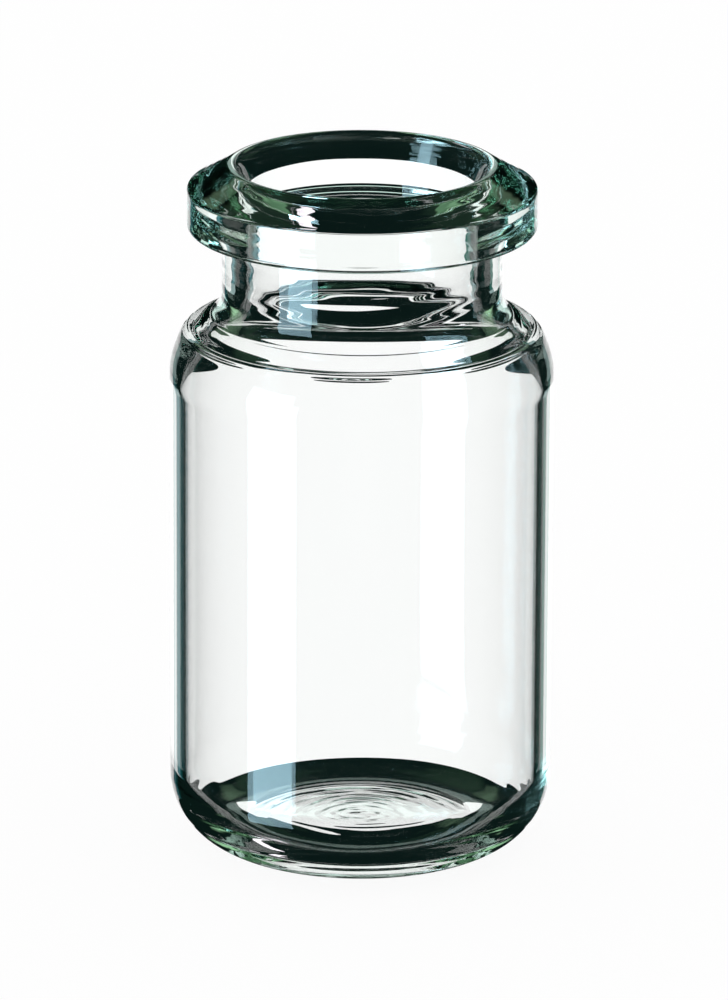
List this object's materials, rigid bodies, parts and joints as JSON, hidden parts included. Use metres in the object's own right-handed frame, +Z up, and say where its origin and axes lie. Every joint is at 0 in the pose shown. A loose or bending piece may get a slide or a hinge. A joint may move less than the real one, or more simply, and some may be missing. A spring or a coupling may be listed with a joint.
{
  "type": "glass sample vial",
  "caption": "Clear glass sample vial with an open mouth, a bevelled crimp crown, a short neck, a round shoulder and a pushed-up flat base.",
  "frame": {"origin": "middle of the circle that the vial stands on", "axes": "+Z up the vial's own axis, out of the mouth; X and Y are any two level directions, because the vial is round"},
  "size_m": [0.022, 0.022, 0.0404],
  "materials": {
    "glass": "clear, smooth, fire-polished"
  },
  "bodies": {
    "root": {"vial": "glass"}
  },
  "joints": []
}
